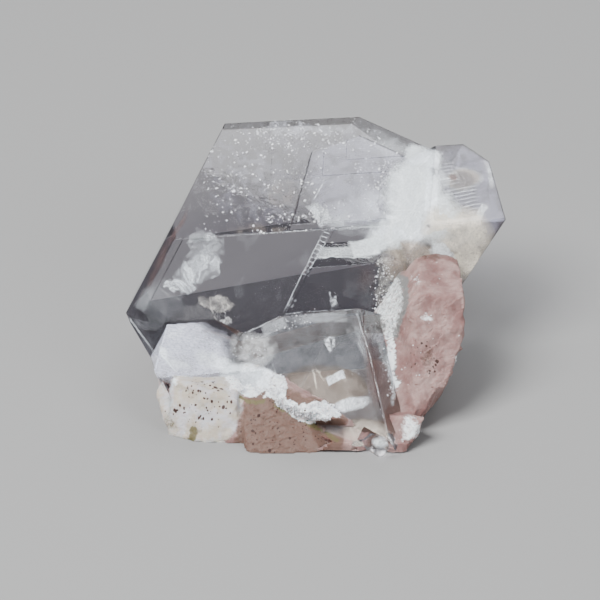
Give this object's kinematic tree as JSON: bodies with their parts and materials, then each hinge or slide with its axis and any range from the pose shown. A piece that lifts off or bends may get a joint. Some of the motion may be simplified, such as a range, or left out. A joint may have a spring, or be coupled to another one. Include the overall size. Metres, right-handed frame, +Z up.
{
  "type": "fluorite crystal specimen",
  "caption": "Mineral specimen: colourless octahedral fluorite crystals with steps and ledges, grown on massive pink fluorite with a flat underside.",
  "frame": {"origin": "middle of the specimen's footprint box, on the surface that it rests on", "axes": "+Z up; +X to the right and -Y to the front of the specimen, the side with the small step crystal"},
  "size_m": [0.0304, 0.0342, 0.0154],
  "materials": {
    "clear_fluorite": "clear, vitreous, with pitted and frosted patches",
    "pink_fluorite": "rough massive pink, cream and brown fluorite"
  },
  "bodies": {
    "root": {"clear_crystals": "clear_fluorite", "pink_matrix": "pink_fluorite"}
  },
  "joints": []
}
